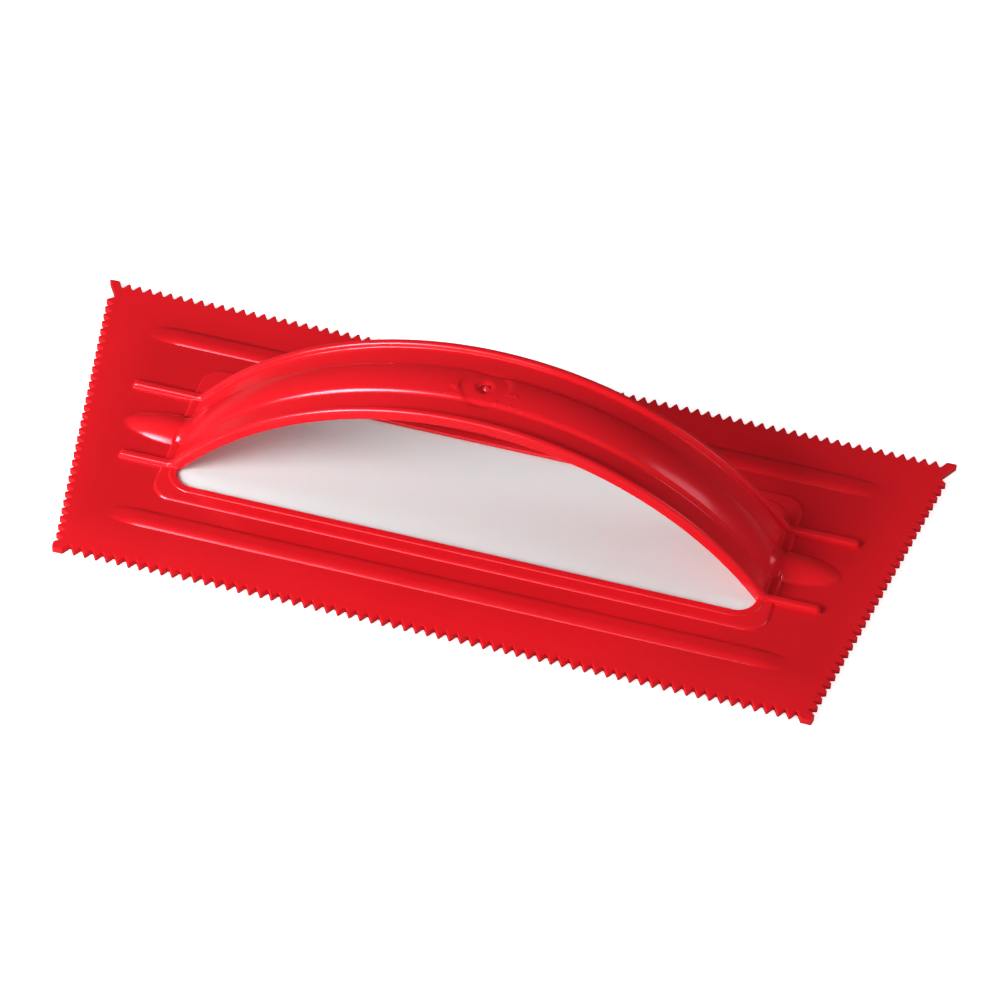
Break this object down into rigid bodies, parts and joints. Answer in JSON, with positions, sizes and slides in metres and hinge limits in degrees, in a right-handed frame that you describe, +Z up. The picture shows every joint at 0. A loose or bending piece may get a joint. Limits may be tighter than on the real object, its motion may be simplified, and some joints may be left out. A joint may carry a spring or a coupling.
{
  "type": "notched trowel",
  "caption": "Moulded plastic notched trowel: trapezoid blade with V-notches on all four edges, arched ribbed handle and a pale panel closing the window under it.",
  "frame": {"origin": "middle of the flat underside, at the bottom centre of the bounding box", "axes": "+X along the long toothed edges, +Y towards the longer of the two, +Z up out of the blade through the handle's crown"},
  "size_m": [0.254, 0.1076, 0.0461],
  "materials": {
    "red_plastic": "glossy as-moulded red polypropylene with fine flow marks and scuffs",
    "white_plastic": "milky, slightly translucent white plastic with a soft gloss"
  },
  "bodies": {
    "root": {"blade": "red_plastic", "handle": "red_plastic", "window_panel": "white_plastic"}
  },
  "joints": []
}
